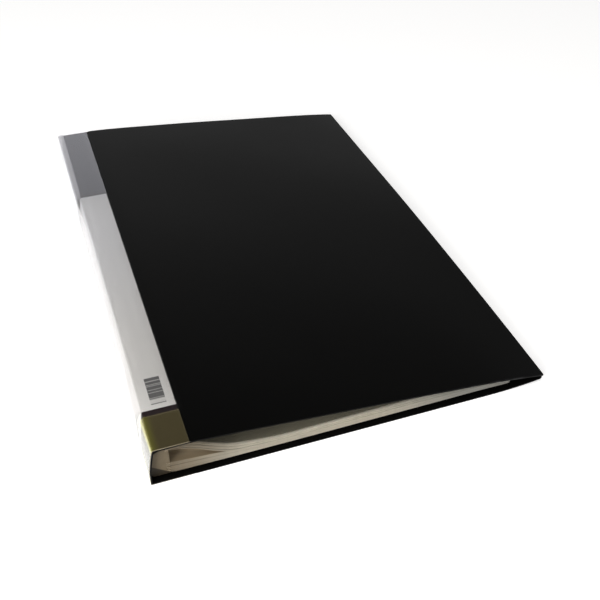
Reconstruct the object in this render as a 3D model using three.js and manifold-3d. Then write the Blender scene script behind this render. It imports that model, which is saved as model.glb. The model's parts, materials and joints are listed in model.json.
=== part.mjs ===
// A display book: a folded black sheet with clear pockets inside and a label sleeve on its spine.
// Millimetres. X runs from the spine to the fore edge, Y along the spine, Z up from the table.
// Sections are drawn with the bottom fold's outer corner at x = 0 and the near end at y = 0.
// The finished group is moved so that its origin is the bottom centre of the closed book.

import * as THREE from 'three';
import { mergeVertices } from 'three/addons/utils/BufferGeometryUtils.js';
import Module from 'manifold-3d';

const wasm = await Module();
wasm.setup();

// Cover sheet
const coverLength = 355;
const coverWidth = 237;
const spineHeight = 25.6;
const spineLean = 3;
const sheetThickness = 0.8;
const bandWidth = 20;
const creaseRamp = 3;
const cornerRadius = 1.5;
const curlLength = 37;
const curlRise = 2.6;
const bowLength = 54;
const bowDrop = 2;
const foreEdgeGap = 0.5;
const foldGap = 0.05;

// Label sleeve and card
const sleeveFilm = 0.2;
const cardThickness = 0.3;
const cardClearance = 0.1;
const seamWidth = 0.8;
const seamClearance = 0.04;
const endFilmLength = 25.6;
const slotLength = 3;
const cardLength = 226;
const cardInset = 0.3;

// Pockets
const pocketCount = 20;
const pocketEndInset = 3.5;
const pocketForeInset = 19.5;
const pocketFilm = 0.07;
const pocketGap = 0.06;
const leafClearance = 0.055;
const stackClearance = 0.27;
const pocketCorner = 3;
const openingLip = 3;

// Pocket roots on the spine
const weldBarDepth = 3;
const weldBarClearance = 0.05;
const weldPitch = 0.3;
const weldCentre = 11;
const rootReach = 18;
const rootStep = 0.8;
const lowerClearance = 0.8;
const lowerPitch = 0.72;
const upperClearance = 3.5;
const upperPitch = 0.5;
const rootGap = 0.2;
const rootBend = 6;
const rootSegments = 7;

// Worked out from the sizes above
const labelDepth = sleeveFilm + cardThickness + 2 * cardClearance;
const sheetInside = labelDepth + sheetThickness;
const leafThickness = 2 * pocketFilm + pocketGap;
const leafPitch = leafThickness + leafClearance;
const pocketFore = coverWidth - pocketForeInset;
const pocketLength = coverLength - 2 * pocketEndInset;
const slotEnd = endFilmLength + slotLength;
const spineAngle = Math.atan2(spineHeight, spineLean);

const finishes = {
  sheet: { color: 0x17171a, roughness: 0.45 },
  clearFilm: { color: 0xd9dadb, roughness: 0.12, transparent: true, opacity: 0.3 },
  card: { color: 0xf4f4f2, roughness: 0.8 },
  pocketFilm: { color: 0xc9c6ba, roughness: 0.3, transparent: true, opacity: 0.45 },
  weld: { color: 0xb9b29f, roughness: 0.5 },
};

function material(finish) {
  return new THREE.MeshStandardMaterial({ metalness: 0, ...finishes[finish] });
}

function namedMesh(name, geometry, finish) {
  const mesh = new THREE.Mesh(geometry, material(finish));
  mesh.name = name;
  return mesh;
}

// Booleans work on closed solids whose shared corners are one vertex.
function solidOf(geometry) {
  const bare = geometry.clone();
  bare.deleteAttribute('normal');
  bare.deleteAttribute('uv');
  const merged = mergeVertices(bare);
  return new wasm.Manifold(new wasm.Mesh({
    numProp: 3,
    vertProperties: new Float32Array(merged.attributes.position.array),
    triVerts: new Uint32Array(merged.index.array),
  }));
}

function geometryOf(solid) {
  const mesh = solid.getMesh();
  const geometry = new THREE.BufferGeometry();
  geometry.setAttribute('position', new THREE.BufferAttribute(mesh.vertProperties, 3));
  geometry.setIndex(new THREE.BufferAttribute(mesh.triVerts, 1));
  return geometry;
}

// A section given as [x, z] points, drawn along Y from one end to the other.
function alongSpine(section, start, end) {
  const shape = new THREE.Shape(section.map(([x, z]) => new THREE.Vector2(x, z)));
  const geometry = new THREE.ExtrudeGeometry(shape, { depth: end - start, bevelEnabled: false });
  return geometry.rotateX(Math.PI / 2).translate(0, end, 0);
}

// A plan outline whose two corners on the fore edge are rounded.
function foreEdgeOutline(left, right, near, far, radius) {
  const shape = new THREE.Shape();
  shape.moveTo(left, near);
  shape.lineTo(right - radius, near);
  shape.absarc(right - radius, near + radius, radius, -Math.PI / 2, 0, false);
  shape.lineTo(right, far - radius);
  shape.absarc(right - radius, far - radius, radius, 0, Math.PI / 2, false);
  shape.lineTo(left, far);
  return shape;
}

// The outer line of a panel: where it starts, which way it runs and which way is inwards.
function panel(x, z, angle, turn) {
  const along = [Math.cos(angle), Math.sin(angle)];
  const inward = [-Math.sin(angle) * turn, Math.cos(angle) * turn];
  return (distance, depth) => [
    x + along[0] * distance + inward[0] * depth,
    z + along[1] * distance + inward[1] * depth,
  ];
}

// How far a layer at some depth stops short of a fold's corner, so that two panels meet in a mitre.
function mitre(depth, foldAngle) {
  return depth / Math.tan(foldAngle / 2) + foldGap;
}

const bottomFold = spineAngle;
const topFold = Math.PI - spineAngle;
const spineRun = Math.hypot(spineLean, spineHeight);
const backPanel = panel(0, 0, 0, 1);
const spinePanel = panel(0, 0, spineAngle, -1);
const bandPanel = panel(spineLean, spineHeight, 0, -1);

function backStrip(outer, inner, reach) {
  return [
    backPanel(mitre(outer, bottomFold), outer),
    backPanel(reach, outer),
    backPanel(reach, inner),
    backPanel(mitre(inner, bottomFold), inner),
  ];
}

function spineStrip(outer, inner) {
  return [
    spinePanel(mitre(outer, bottomFold), outer),
    spinePanel(mitre(inner, bottomFold), inner),
    spinePanel(spineRun - mitre(inner, topFold), inner),
    spinePanel(spineRun - mitre(outer, topFold), outer),
  ];
}

function bandStrip(outer, inner, reach) {
  return [
    bandPanel(mitre(outer, topFold), outer),
    bandPanel(mitre(inner, topFold), inner),
    bandPanel(reach, inner),
    bandPanel(reach, outer),
  ];
}

// Height of the back cover's inner face above the table: flat, then curling up at the fore edge.
function backCoverTop(x) {
  const curl = Math.max(0, x - (coverWidth - curlLength)) / curlLength;
  return sheetThickness + curlRise * curl * curl;
}

// The front cover hangs from its crease on the band's outer face and slopes down by an angle.
const crease = bandPanel(bandWidth, labelDepth);

function frontCoverPoint(slope, distance, height) {
  return [
    crease[0] + Math.cos(slope) * distance + Math.sin(slope) * height,
    crease[1] - Math.sin(slope) * distance + Math.cos(slope) * height,
  ];
}

// Distance along the front cover at which it is as far from the spine as x.
function distanceAt(slope, x) {
  return (x - crease[0]) / Math.cos(slope);
}

// The outer face rises beside the crease, runs straight, then bows down towards the fore edge.
function frontCoverOuter(slope, distance) {
  const ramp = Math.min(1, distance / creaseRamp);
  const bow = Math.max(0, distance - (distanceAt(slope, coverWidth) - bowLength)) / bowLength;
  return labelDepth * ramp - bowDrop * bow * bow;
}

function frontInnerHeight(slope, x) {
  const distance = distanceAt(slope, x);
  return frontCoverPoint(slope, distance, frontCoverOuter(slope, distance) - sheetThickness)[1];
}

// The steepest slope at which the front cover's inner face is still at a height above x.
function slopeReaching(x, height) {
  let gentle = 0;
  let steep = Math.PI / 6;
  for (let step = 0; step < 50; step += 1) {
    const middle = (gentle + steep) / 2;
    if (frontInnerHeight(middle, x) > height) gentle = middle;
    else steep = middle;
  }
  return gentle;
}

const stackBottom = backCoverTop(pocketFore) + stackClearance;
const stackTop = stackBottom + pocketCount * leafPitch - leafClearance;
const coverSlope = Math.min(
  slopeReaching(pocketFore, stackTop + stackClearance),
  slopeReaching(coverWidth, backCoverTop(coverWidth) + foreEdgeGap),
);

function curvePoints(start, end, count, pointAt) {
  return Array.from({ length: count + 1 }, (_, i) => pointAt(start + ((end - start) * i) / count));
}

function backCoverSection() {
  const bandEnd = spineLean + bandWidth;
  const curlStart = coverWidth - curlLength;
  const under = curvePoints(curlStart, coverWidth, 8, (x) => [x, backCoverTop(x) - sheetThickness]);
  const over = curvePoints(coverWidth, curlStart, 8, (x) => [x, backCoverTop(x)]);
  return [
    backPanel(mitre(labelDepth, bottomFold), labelDepth),
    [bandEnd, labelDepth],
    [bandEnd + creaseRamp, 0],
    ...under,
    ...over,
    [bandEnd + creaseRamp, sheetThickness],
    [bandEnd, sheetInside],
    backPanel(mitre(sheetInside, bottomFold), sheetInside),
  ];
}

function frontCoverSection() {
  const end = distanceAt(coverSlope, coverWidth);
  const bowStart = end - bowLength;
  const outer = (distance) => frontCoverPoint(coverSlope, distance, frontCoverOuter(coverSlope, distance));
  const inner = (distance) => (
    frontCoverPoint(coverSlope, distance, frontCoverOuter(coverSlope, distance) - sheetThickness)
  );
  const hingeBack = mitre(sheetThickness, Math.PI - coverSlope);
  return [
    frontCoverPoint(coverSlope, foldGap, 0),
    frontCoverPoint(coverSlope, hingeBack, -sheetThickness),
    inner(creaseRamp),
    ...curvePoints(bowStart, end, 8, inner),
    ...curvePoints(end, bowStart, 8, outer),
    outer(creaseRamp),
  ];
}

function frontBandSection() {
  const atCrease = bandWidth - foldGap;
  const underCrease = bandWidth - mitre(sheetThickness, Math.PI - coverSlope);
  return [
    bandPanel(mitre(labelDepth, topFold), labelDepth),
    bandPanel(mitre(sheetInside, topFold), sheetInside),
    bandPanel(underCrease, sheetInside),
    bandPanel(atCrease, labelDepth),
  ];
}

// A cover's section, drawn the length of the book, keeps what lies inside its rounded outline.
function roundedCover(section) {
  const outline = foreEdgeOutline(-coverWidth, coverWidth, 0, coverLength, cornerRadius);
  const column = new THREE.ExtrudeGeometry(outline, {
    depth: 4 * spineHeight, bevelEnabled: false, curveSegments: 6,
  }).translate(0, 0, -2 * spineHeight);
  return geometryOf(solidOf(alongSpine(section, 0, coverLength)).intersect(solidOf(column)));
}

function coverPieces() {
  return [
    namedMesh('back_cover', roundedCover(backCoverSection()), 'sheet'),
    namedMesh('spine_panel', alongSpine(spineStrip(labelDepth, sheetInside), 0, coverLength), 'sheet'),
    namedMesh('front_band', alongSpine(frontBandSection(), 0, coverLength), 'sheet'),
    namedMesh('front_cover', roundedCover(frontCoverSection()), 'sheet'),
  ];
}

// The film wraps the spine and both bands. A slot parts the long sleeve from the end film.
const bandFilmReach = bandWidth - foldGap;
const backFilmReach = spineLean + bandWidth - foldGap;

function filmPieces() {
  const stretches = [
    { name: 'end_film', start: 0, end: endFilmLength },
    { name: 'sleeve', start: slotEnd, end: coverLength },
  ];
  return stretches.flatMap(({ name, start, end }) => [
    namedMesh(`${name}_front`, alongSpine(bandStrip(0, sleeveFilm, bandFilmReach), start, end), 'clearFilm'),
    namedMesh(`${name}_spine`, alongSpine(spineStrip(0, sleeveFilm), start, end), 'clearFilm'),
    namedMesh(`${name}_back`, alongSpine(backStrip(0, sleeveFilm, backFilmReach), start, end), 'clearFilm'),
  ]);
}

// A narrow weld under the film's edge holds it to the sheet along each crease.
function weldSeam(name, place, reach) {
  const outer = sleeveFilm + seamClearance;
  const inner = labelDepth - seamClearance;
  const section = [
    place(reach - seamWidth, outer),
    place(reach, outer),
    place(reach, inner),
    place(reach - seamWidth, inner),
  ];
  return namedMesh(name, alongSpine(section, 0, coverLength), 'clearFilm');
}

function seamPieces() {
  return [
    weldSeam('weld_seam_front', bandPanel, bandFilmReach),
    weldSeam('weld_seam_back', backPanel, backFilmReach),
  ];
}

function cardPieces() {
  const outer = sleeveFilm + cardClearance;
  const inner = outer + cardThickness;
  const start = slotEnd + cardInset;
  const end = start + cardLength;
  const frontReach = bandFilmReach - seamWidth - cardClearance;
  const backReach = backFilmReach - seamWidth - cardClearance;
  return [
    namedMesh('label_card_front', alongSpine(bandStrip(outer, inner, frontReach), start, end), 'card'),
    namedMesh('label_card_spine', alongSpine(spineStrip(outer, inner), start, end), 'card'),
    namedMesh('label_card_back', alongSpine(backStrip(outer, inner, backReach), start, end), 'card'),
  ];
}

// Every pocket bends where its root ends. Half of the pockets leave the binding low and half leave
// it high, with a gap between, and the middle roots are longer, so that an opened book's pockets
// lie over one another.
function pocketBend(index) {
  const fromSide = Math.min(index, pocketCount - 1 - index);
  const isLower = index < pocketCount / 2;
  const low = sheetInside + lowerClearance + lowerPitch * fromSide;
  const high = spineHeight - sheetInside - upperClearance - upperPitch * fromSide;
  return { x: rootReach + rootStep * fromSide, z: isLower ? low : high };
}

function pocketTip(index) {
  return { x: pocketFore, z: stackBottom + leafThickness / 2 + leafPitch * index };
}

function pocketSlope(index) {
  const bend = pocketBend(index);
  const tip = pocketTip(index);
  return Math.atan2(bend.z - tip.z, tip.x - bend.x);
}

// A thin ribbon of even thickness along a curve in the section.
function ribbon(curve, thickness) {
  const middle = curve.getPoints(rootSegments);
  const side = (offset) => middle.map((point, i) => {
    const normal = curve.getTangent(i / rootSegments);
    return [point.x - normal.y * offset, point.y + normal.x * offset];
  });
  return [...side(-thickness / 2), ...side(thickness / 2).reverse()];
}

function pocketRoot(index) {
  const weldTop = weldCentre + (weldPitch * (pocketCount - 1)) / 2;
  const start = spinePanel(
    weldTop - weldPitch * (pocketCount - 1 - index),
    sheetInside + weldBarClearance + weldBarDepth / 2,
  );
  const bend = pocketBend(index);
  const slope = pocketSlope(index);
  const endX = bend.x - rootGap * Math.cos(slope);
  const endZ = bend.z + rootGap * Math.sin(slope);
  const curve = new THREE.CubicBezierCurve(
    new THREE.Vector2(start[0], start[1]),
    new THREE.Vector2(start[0] + weldBarDepth / 2 + rootBend, start[1]),
    new THREE.Vector2(endX - rootBend * Math.cos(slope), endZ + rootBend * Math.sin(slope)),
    new THREE.Vector2(endX, endZ),
  );
  return solidOf(alongSpine(ribbon(curve, 2 * pocketFilm), pocketEndInset, coverLength - pocketEndInset));
}

// The weld bar on the spine's inner face gathers the pocket roots, which fan out of it.
function pocketBinding() {
  const halfHeight = (weldPitch * pocketCount) / 2;
  const outer = sheetInside + weldBarClearance;
  const section = [
    spinePanel(weldCentre - halfHeight, outer),
    spinePanel(weldCentre - halfHeight, outer + weldBarDepth),
    spinePanel(weldCentre + halfHeight, outer + weldBarDepth),
    spinePanel(weldCentre + halfHeight, outer),
  ];
  let comb = solidOf(alongSpine(section, pocketEndInset, coverLength - pocketEndInset));
  for (let index = 0; index < pocketCount; index += 1) comb = comb.add(pocketRoot(index));
  return namedMesh('pocket_binding', geometryOf(comb), 'weld');
}

// One wall of a pocket, flat in its own frame, with its root on the bend line.
function pocketWall(name, reach, length, bottom) {
  const outline = foreEdgeOutline(rootGap, reach, 0, length, pocketCorner);
  const geometry = new THREE.ExtrudeGeometry(outline, {
    depth: pocketFilm, bevelEnabled: false, curveSegments: 4,
  }).translate(0, 0, bottom);
  return namedMesh(name, geometry, 'pocketFilm');
}

// A pocket's front wall stops short of its back wall at the open far end.
function pocket(index) {
  const bend = pocketBend(index);
  const tip = pocketTip(index);
  const reach = Math.hypot(tip.x - bend.x, tip.z - bend.z);
  const number = String(index + 1).padStart(2, '0');
  const group = new THREE.Group();
  group.position.set(bend.x, pocketEndInset, bend.z);
  group.rotation.y = pocketSlope(index);
  group.add(
    pocketWall(`pocket_${number}_back_film`, reach, pocketLength, -leafThickness / 2),
    pocketWall(`pocket_${number}_front_film`, reach, pocketLength - openingLip, pocketGap / 2),
  );
  return group;
}

const displayBook = new THREE.Group();
displayBook.name = 'display_book';
displayBook.add(...coverPieces(), ...filmPieces(), ...seamPieces(), ...cardPieces(), pocketBinding());
for (let index = 0; index < pocketCount; index += 1) displayBook.add(pocket(index));
displayBook.position.set(-coverWidth / 2, -coverLength / 2, 0);

export default displayBook;
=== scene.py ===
"""A display book: a folded black cover, clear pockets inside and a label sleeve on the spine.

Lengths here are millimetres in the book's own section: x runs from the bottom fold to the fore
edge, y along the spine from the near end, z up from the table. place() turns them into metres in
the row frame. The cover, the films and the card start as flat blanks that are cut across and
along, laid along a path round the folds, given their thickness and rounded at their rims. The
pockets are copies of one blank, and their welded roots are a block that is drawn out to the spine.
"""

import json
import math

import bmesh
import bpy
from mathutils import Matrix, Vector

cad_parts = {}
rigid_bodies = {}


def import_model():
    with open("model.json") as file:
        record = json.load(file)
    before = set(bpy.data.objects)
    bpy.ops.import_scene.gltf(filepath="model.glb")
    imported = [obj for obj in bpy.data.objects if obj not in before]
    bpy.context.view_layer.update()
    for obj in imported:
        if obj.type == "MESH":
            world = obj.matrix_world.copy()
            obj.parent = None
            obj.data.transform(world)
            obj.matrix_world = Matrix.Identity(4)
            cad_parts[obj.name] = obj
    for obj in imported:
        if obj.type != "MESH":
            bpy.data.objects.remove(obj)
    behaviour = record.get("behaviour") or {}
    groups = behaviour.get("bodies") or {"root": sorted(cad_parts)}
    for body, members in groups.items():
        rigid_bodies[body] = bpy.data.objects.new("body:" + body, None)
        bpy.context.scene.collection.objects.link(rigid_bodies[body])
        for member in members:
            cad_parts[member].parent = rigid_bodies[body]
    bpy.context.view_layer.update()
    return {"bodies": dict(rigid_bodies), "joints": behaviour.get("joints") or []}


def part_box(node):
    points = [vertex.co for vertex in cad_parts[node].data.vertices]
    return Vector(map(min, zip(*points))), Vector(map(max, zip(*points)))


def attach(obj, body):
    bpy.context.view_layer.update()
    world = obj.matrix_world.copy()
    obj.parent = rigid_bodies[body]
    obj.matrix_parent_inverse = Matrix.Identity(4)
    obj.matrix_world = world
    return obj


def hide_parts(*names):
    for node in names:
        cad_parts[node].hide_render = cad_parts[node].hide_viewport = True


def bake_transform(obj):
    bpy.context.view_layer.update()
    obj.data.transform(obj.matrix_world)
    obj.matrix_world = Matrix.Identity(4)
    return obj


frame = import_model()

# Sizes and places that the frame gives.

MM = 0.001
far_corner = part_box("back_cover")[1]
COVER_WIDTH = round(2 * far_corner.x / MM, 3)
COVER_LENGTH = round(2 * far_corner.y / MM, 3)
joints = {joint["name"]: joint for joint in frame["joints"]}


def place(x, y, z):
    """A point of the section, in metres in the row frame."""
    return Vector((x - COVER_WIDTH / 2, y - COVER_LENGTH / 2, z)) * MM


def node_ends(node, axis):
    """Where a CAD node starts and ends along x (0), y (1) or z (2) of the section."""
    origin = (COVER_WIDTH / 2, COVER_LENGTH / 2, 0)[axis]
    return [round(corner[axis] / MM + origin, 3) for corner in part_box(node)]


def node_size(node, axis):
    """A CAD node's size along x (0), y (1) or z (2)."""
    start, end = node_ends(node, axis)
    return round(end - start, 3)


def joint_line(name):
    """The x and z at which a joint's line crosses the section."""
    x, _, z = joints[name]["pos_m"]
    return round(x / MM + COVER_WIDTH / 2, 3), round(z / MM, 3)


SPINE_LEAN, SPINE_HEIGHT = joint_line("band_fold")
CREASE_X, CREASE_HEIGHT = joint_line("cover_fold")
COVER_SLOPE = math.radians(joints["cover_fold"]["range_deg"][1])
SHEET_THICKNESS = node_size("front_band", 2)
SHEET_DEPTH = round(SPINE_HEIGHT - CREASE_HEIGHT, 3)
CURL_RISE = round(node_size("back_cover", 2) - SHEET_THICKNESS, 3)
FILM_THICKNESS = node_size("sleeve_back", 2)
FILM_EDGE = node_ends("sleeve_back", 0)[1]
CARD_DEPTH = node_ends("label_card_back", 2)[0]
CARD_THICKNESS = node_size("label_card_back", 2)
SEAM_DEPTH = node_ends("weld_seam_back", 2)[0]
SEAM_THICKNESS = node_size("weld_seam_back", 2)
POCKET_NEAR, POCKET_FAR = node_ends("pocket_01_back_film", 1)
FRONT_FILM_FAR = node_ends("pocket_01_front_film", 1)[1]
POCKET_FORE = node_ends("pocket_01_back_film", 0)[1]
POCKET_COUNT = sum(body.startswith("pocket_") for body in frame["bodies"])

# Sizes of the forms that only this scene has.

FOLD_RADIUS = 1.6
CREASE_RAMP = 3
BAND_MIDDLE = CREASE_X - 10
BOW_LENGTH = 54
BOW_DROP = 2
CURL_LENGTH = 37
BACK_CORNER = 2.6
FRONT_CORNER = 0.8
SHEET_RIM = 0.14
FILM_RIM = 0.05
SEAM_RIM = 0.08
SEAM_ACROSS = (CREASE_X - 0.36, CREASE_X - 0.07)
SEAM_START = 0.3

END_FILM_LENGTH = 24.9
SLEEVE_START = 28.8
GAPE_START = 190
GAPE_RUN = 80
CARD_START = 29.4
CARD_LENGTH = 225.5
CARD_EDGE = 22.55

POCKET_START = 10
POCKET_RUN = POCKET_FORE - POCKET_START
POCKET_CORNER = 3
POCKET_FILM = 0.07
POCKET_BEND_LENGTH = 12

# The pocket under the gap between the lower and the upper group, which carries the gap's painted
# shade.
GAP_SHADED_POCKET = POCKET_COUNT // 2 - 1

# The folds, and the bearings in degrees at which their arcs start, are parted and end.

SPINE_ANGLE = math.atan2(SPINE_HEIGHT, SPINE_LEAN)
SPINE_RUN = math.hypot(SPINE_LEAN, SPINE_HEIGHT)
SPINE_BEARING = 90 + math.degrees(SPINE_ANGLE)
BOTTOM_REACH = FOLD_RADIUS / math.tan(SPINE_ANGLE / 2)
BOTTOM_BEARING = 270
BOTTOM_MIDDLE = (SPINE_BEARING + BOTTOM_BEARING) / 2
TOP_REACH = FOLD_RADIUS * math.tan(SPINE_ANGLE / 2)
TOP_BEARING = 90
TOP_MIDDLE = (SPINE_BEARING + TOP_BEARING) / 2
SHEET_TOP = SPINE_HEIGHT - SHEET_DEPTH

# How far apart the cuts are that let a flat blank bend, and how near a fold the last one comes.

ARC_STEP = 8
FLAT_STEP = 17
SHEET_SPINE_STEP = 2.5
FILM_SPINE_STEP = 2
NEXT_TO_FOLD = 0.8


def ease(value):
    """Rises smoothly from 0 to 1 as value does."""
    share = min(1, max(0, value))
    return share * share * (3 - 2 * share)


def spread(start, end, step):
    """Even stops from start to end, about a step apart, with both ends."""
    count = max(1, round(abs(end - start) / step))
    return [start + (end - start) * i / count for i in range(count + 1)]


def through(stations, heights, x):
    """The height at x of a smooth line through the stations."""
    if x <= stations[0]:
        return heights[0]
    if x >= stations[-1]:
        return heights[-1]
    i = max(k for k in range(len(stations) - 1) if stations[k] <= x)
    last = len(stations) - 1

    def slope(k):
        before, after = max(0, k - 1), min(last, k + 1)
        return (heights[after] - heights[before]) / (stations[after] - stations[before])

    run = stations[i + 1] - stations[i]
    t = (x - stations[i]) / run
    return (
        heights[i] * (2 * t**3 - 3 * t**2 + 1)
        + heights[i + 1] * (3 * t**2 - 2 * t**3)
        + slope(i) * run * (t**3 - 2 * t**2 + t)
        + slope(i + 1) * run * (t**3 - t**2)
    )


# The layers' paths round the folds, by their depth under the book's outer line.


def spine_point(distance, depth):
    """A point so far up the spine's outer line, and so deep under it."""
    return (
        math.cos(SPINE_ANGLE) * distance + math.sin(SPINE_ANGLE) * depth,
        math.sin(SPINE_ANGLE) * distance - math.cos(SPINE_ANGLE) * depth,
    )


def down_spine(depth, step):
    """Points from half way up the spine to just above the bottom fold."""
    stops = spread(SPINE_RUN / 2, BOTTOM_REACH + NEXT_TO_FOLD, step)
    return [spine_point(distance, depth) for distance in stops]


def up_spine(depth, step):
    """Points from half way up the spine to just below the top fold."""
    stops = spread(SPINE_RUN / 2, SPINE_RUN - TOP_REACH - NEXT_TO_FOLD, step)
    return [spine_point(distance, depth) for distance in stops]


def round_fold(centre_x, centre_z, depth, start, end):
    """Points on a fold's arc, from one bearing to another in degrees."""
    radius = FOLD_RADIUS - depth
    return [
        (
            centre_x + radius * math.cos(math.radians(bearing)),
            centre_z + radius * math.sin(math.radians(bearing)),
        )
        for bearing in spread(start, end, ARC_STEP)
    ]


def bottom_fold(depth, start=SPINE_BEARING, end=BOTTOM_BEARING):
    """The arc round the bottom fold, from the spine's side."""
    return round_fold(BOTTOM_REACH, FOLD_RADIUS, depth, start, end)


def top_fold(depth, start=SPINE_BEARING, end=TOP_BEARING):
    """The arc round the top fold, from the spine's side."""
    centre_z = SPINE_HEIGHT - FOLD_RADIUS
    return round_fold(SPINE_LEAN + TOP_REACH, centre_z, depth, start, end)


def back_cover_path():
    """The back cover's under face, from half way up the spine to the fore edge."""
    stops = down_spine(SHEET_DEPTH, SHEET_SPINE_STEP)
    band = [(x, SHEET_DEPTH) for x in (6, 12, 16, 19)]
    ramp = [
        (CREASE_X + CREASE_RAMP * share, SHEET_DEPTH * (1 - ease(share)))
        for share in (0, 0.2, 0.4, 0.6, 0.8, 1)
    ]
    flat_start = CREASE_X + CREASE_RAMP + 8
    flat = [(x, 0) for x in spread(flat_start, COVER_WIDTH - CURL_LENGTH, FLAT_STEP)]
    curl = [
        (x, CURL_RISE * ((x - COVER_WIDTH + CURL_LENGTH) / CURL_LENGTH) ** 2)
        for x in spread(COVER_WIDTH - CURL_LENGTH + 3, COVER_WIDTH, 3)
    ]
    return [*stops, *bottom_fold(SHEET_DEPTH), *band, *ramp, *flat, *curl]


def spine_path():
    """The cover sheet's outer face, from half way up the spine to the middle of the band."""
    stops = up_spine(SHEET_DEPTH, SHEET_SPINE_STEP)
    band = [(x, SHEET_TOP) for x in (5.5, 8, BAND_MIDDLE)]
    return [*stops, *top_fold(SHEET_DEPTH), *band]


def front_cover_point(distance, height):
    """A point so far down the front cover's slope from the crease, and so high over it."""
    return (
        CREASE_X + math.cos(COVER_SLOPE) * distance + math.sin(COVER_SLOPE) * height,
        SHEET_TOP - math.sin(COVER_SLOPE) * distance + math.cos(COVER_SLOPE) * height,
    )


def front_cover_path():
    """The front cover's outer face, from the middle of the band to the fore edge."""
    reach = (COVER_WIDTH - CREASE_X) / math.cos(COVER_SLOPE)
    band = [(BAND_MIDDLE + away, SHEET_TOP) for away in (0, 3, 6, 9)]
    ramp = [
        front_cover_point(CREASE_RAMP * share, SHEET_DEPTH * ease(share))
        for share in (0.02, 0.2, 0.4, 0.6, 0.8, 1)
    ]
    flat = [
        front_cover_point(distance, SHEET_DEPTH)
        for distance in spread(CREASE_RAMP + 8, reach - BOW_LENGTH, FLAT_STEP)
    ]
    bow = [
        front_cover_point(
            distance,
            SHEET_DEPTH - BOW_DROP * ((distance - reach + BOW_LENGTH) / BOW_LENGTH) ** 2,
        )
        for distance in spread(reach - BOW_LENGTH + 4, reach, 4)
    ]
    return [*band, *ramp, *flat, *bow]


def lower_film_path():
    """The films' outer face, from half way up the spine to their edge under the book."""
    return [*down_spine(0, FILM_SPINE_STEP), *bottom_fold(0), (12, 0), (FILM_EDGE, 0)]


def upper_film_path():
    """The films' outer face, from half way up the spine to their edge on top of the band."""
    band = [(x, SPINE_HEIGHT) for x in (6, 8, 10, 13, 17, FILM_EDGE)]
    return [*up_spine(0, FILM_SPINE_STEP), *top_fold(0), *band]


def card_back_path():
    """The card's outer face, from the middle of the bottom fold."""
    return [*bottom_fold(CARD_DEPTH, BOTTOM_MIDDLE), (12, CARD_DEPTH), (CARD_EDGE, CARD_DEPTH)]


def card_spine_path():
    """The card's outer face, from the middle of the bottom fold to the middle of the top one."""
    lower = list(reversed(bottom_fold(CARD_DEPTH, SPINE_BEARING, BOTTOM_MIDDLE)))
    upper = top_fold(CARD_DEPTH, SPINE_BEARING, TOP_MIDDLE)
    return [*lower, spine_point(SPINE_RUN / 2, CARD_DEPTH), *upper]


def card_front_path():
    """The card's outer face, from the middle of the top fold."""
    band = [(x, SPINE_HEIGHT - CARD_DEPTH) for x in (10, 16, CARD_EDGE)]
    return [*top_fold(CARD_DEPTH, TOP_MIDDLE), *band]


# Modelling: a blank is a plane that is cut where it will bend, then laid along its path.

# Edges that turn by more degrees than this are rims.
RIM_ANGLE = 55
# A rim this near a joint line, as a share of the sheet's thickness, meets a neighbour.
JOINT_REACH = 1.2


def select_only(piece):
    bpy.ops.object.select_all(action="DESELECT")
    piece.select_set(True)
    bpy.context.view_layer.objects.active = piece


def enter_with_selected(piece, kind, is_wanted):
    """Enters edit mode with only some vertices, edges or faces of a piece selected."""
    select_only(piece)
    bpy.ops.object.mode_set(mode="EDIT")
    bpy.ops.mesh.select_all(action="DESELECT")
    mesh = bmesh.from_edit_mesh(piece.data)
    for element in getattr(mesh, kind):
        element.select = is_wanted(element)
    bmesh.update_edit_mesh(piece.data)


def cut(stops, direction):
    """Cuts the mesh in edit mode at each stop, across a direction."""
    for stop in stops:
        bpy.ops.mesh.select_all(action="SELECT")
        bpy.ops.mesh.bisect(plane_co=Vector(direction) * stop * MM, plane_no=direction)


def blank(name, run, near, far, across, along, corner):
    """A flat sheet from x = 0 to its run, cut across at some distances and along at others.

    The two corners at its far run are rounded, where corner gives them a radius.
    """
    bpy.ops.object.select_all(action="DESELECT")
    bpy.ops.mesh.primitive_plane_add(size=1, location=(0, 0, 0))
    piece = bpy.context.object
    piece.name = piece.data.name = name
    bpy.ops.object.mode_set(mode="EDIT")
    bpy.ops.transform.resize(value=(run * MM, (far - near) * MM, 1))
    bpy.ops.transform.translate(value=(run / 2 * MM, (near + far) / 2 * MM, 0))
    if corner:
        mesh = bmesh.from_edit_mesh(piece.data)
        for vertex in mesh.verts:
            vertex.select = vertex.co.x > run / 2 * MM
        mesh.select_flush(False)
        bmesh.update_edit_mesh(piece.data)
        bpy.ops.mesh.bevel(
            offset=corner * MM, offset_pct=0, segments=8, affect="VERTICES", clamp_overlap=False
        )
    cut(across, (1, 0, 0))
    cut(along, (0, 1, 0))
    bpy.ops.object.mode_set(mode="OBJECT")
    return piece


def keep_flat_place(piece):
    """Writes each corner's place on the flat blank, in metres, to the UV map."""
    layer = piece.data.uv_layers[0]
    layer.name = "flat"
    for loop in piece.data.loops:
        place_on_blank = piece.data.vertices[loop.vertex_index].co
        layer.data[loop.index].uv = (place_on_blank.x, place_on_blank.y)


def thicken(piece, thickness, side):
    """Gives a sheet its thickness, on the side its faces point to (1), the other (-1) or both (0)."""
    select_only(piece)
    wall = piece.modifiers.new("thickness", "SOLIDIFY")
    wall.thickness = thickness * MM
    wall.offset = side
    wall.use_even_offset = True
    wall.use_quality_normals = True
    bpy.ops.object.modifier_apply(modifier=wall.name)


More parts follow.
